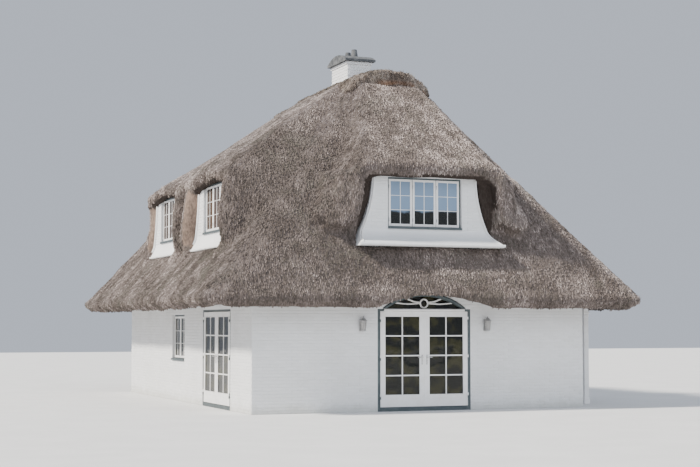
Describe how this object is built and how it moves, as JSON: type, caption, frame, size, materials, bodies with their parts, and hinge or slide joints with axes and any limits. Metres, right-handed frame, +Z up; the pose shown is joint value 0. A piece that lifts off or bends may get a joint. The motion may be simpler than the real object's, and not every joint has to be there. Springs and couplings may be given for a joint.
{
  "type": "thatched cottage",
  "caption": "White brick cottage with a hipped thatched roof, bell-shaped dormers, double glazed doors and a veranda.",
  "frame": {"origin": "on the ground at the centre of the plan", "axes": "+Z up, -Y out of the front with the arched double door, -X out of the left side with two dormers"},
  "size_m": [9.76, 12.12, 8.1303],
  "materials": {
    "white_brick": "white-painted brick",
    "floor": "plain boards",
    "white_timber": "white gloss paint",
    "dark_frame": "dark grey-green paint",
    "window_glass": "clear",
    "thatch": "weathered reed",
    "heather": "brown heather",
    "cap_stone": "weathered slate grey",
    "lamp_metal": "grey"
  },
  "bodies": {
    "house": {"back_dormer_frame": "dark_frame", "back_dormer_glass": "window_glass", "back_dormer_thatch": "thatch", "back_dormer_wall": "white_brick", "back_wall": "white_brick", "back_window_east_frame": "dark_frame", "back_window_east_glass": "window_glass", "back_window_west_frame": "dark_frame", "back_window_west_glass": "window_glass", "chimney_cap": "cap_stone", "chimney_stack": "white_brick", "front_door_fanlight": "window_glass", "front_door_frame": "dark_frame", "front_dormer_frame": "dark_frame", "front_dormer_glass": "window_glass", "front_dormer_thatch": "thatch", "front_dormer_wall": "white_brick", "front_wall_left": "white_brick", "front_wall_over_door": "white_brick", "front_wall_right": "white_brick", "ground_floor": "floor", "left_dormer_front_frame": "dark_frame", "left_dormer_front_glass": "window_glass", "left_dormer_front_wall": "white_brick", "left_dormer_rear_frame": "dark_frame", "left_dormer_rear_glass": "window_glass", "left_dormer_rear_wall": "white_brick", "left_dormer_thatch": "thatch", "left_wall_front": "white_brick", "left_wall_over_door": "white_brick", "left_wall_rear": "white_brick", "left_window_frame": "dark_frame", "left_window_glass": "window_glass", "ridge_cap": "heather", "right_wall": "white_brick", "right_window_front_frame": "dark_frame", "right_window_front_glass": "window_glass", "right_window_rear_frame": "dark_frame", "right_window_rear_glass": "window_glass", "side_door_frame": "dark_frame", "thatch_back": "thatch", "thatch_front": "thatch", "thatch_left": "thatch", "thatch_right": "thatch", "upper_floor": "floor", "veranda_frame": "white_timber", "wall_lamp_left": "lamp_metal", "wall_lamp_right": "lamp_metal"},
    "front_door_leaf_left": {"front_door_leaf_left": "white_timber", "front_door_leaf_left_glass": "window_glass"},
    "front_door_leaf_right": {"front_door_leaf_right": "white_timber", "front_door_leaf_right_glass": "window_glass"},
    "side_door_leaf_rear": {"side_door_leaf_rear": "white_timber", "side_door_leaf_rear_glass": "window_glass"},
    "side_door_leaf_front": {"side_door_leaf_front": "white_timber", "side_door_leaf_front_glass": "window_glass"}
  },
  "joints": [
    {"name": "front_door_left_hinge", "type": "hinge", "parent": "house", "child": "front_door_leaf_left", "pos_m": [-0.979, -5.208, 0], "axis": [0, 0, -1], "range_deg": [0, 90]},
    {"name": "front_door_right_hinge", "type": "hinge", "parent": "house", "child": "front_door_leaf_right", "pos_m": [0.979, -5.208, 0], "axis": [0, 0, 1], "range_deg": [0, 90]},
    {"name": "side_door_rear_hinge", "type": "hinge", "parent": "house", "child": "side_door_leaf_rear", "pos_m": [-3.708, -1.751, 0], "axis": [0, 0, -1], "range_deg": [0, 90]},
    {"name": "side_door_front_hinge", "type": "hinge", "parent": "house", "child": "side_door_leaf_front", "pos_m": [-3.708, -3.709, 0], "axis": [0, 0, 1], "range_deg": [0, 90]}
  ]
}
